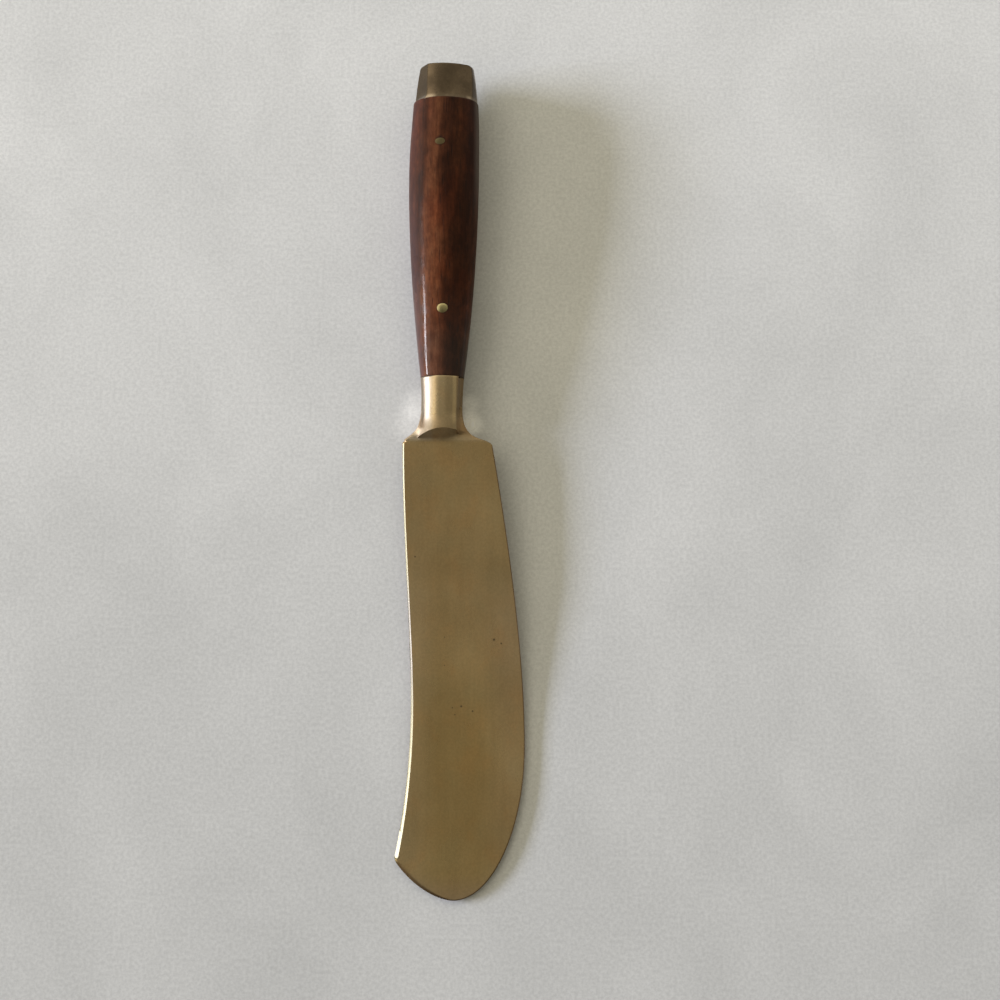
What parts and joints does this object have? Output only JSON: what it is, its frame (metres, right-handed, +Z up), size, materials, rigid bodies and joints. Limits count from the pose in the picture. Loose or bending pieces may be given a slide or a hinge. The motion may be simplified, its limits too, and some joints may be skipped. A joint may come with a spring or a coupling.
{
  "type": "butter knife",
  "caption": "Butter knife with a broad blunt cast brass blade and bolster, a pinned one-piece rosewood grip and a tapered brass end cap.",
  "frame": {"origin": "centre of the object's box at the surface it rests on", "axes": "+Z up; +Y from the blade's tip towards the end cap, along the knife; +X across it, towards the spreading edge"},
  "size_m": [0.0248, 0.1646, 0.0101],
  "materials": {
    "blade_brass": "brushed brass with a warm patina",
    "rosewood": "oiled and lacquered rosewood",
    "cap_brass": "darkened brass, hand filed",
    "pin_brass": "filed flush and polished with the wood",
    "tang_cement": "set resin cement, hidden inside the grip"
  },
  "bodies": {
    "root": {"blade": "blade_brass", "grip": "rosewood", "pommel": "cap_brass", "front_pin": "pin_brass", "rear_pin": "pin_brass", "front_tang_cement": "tang_cement", "rear_tang_cement": "tang_cement"}
  },
  "joints": []
}
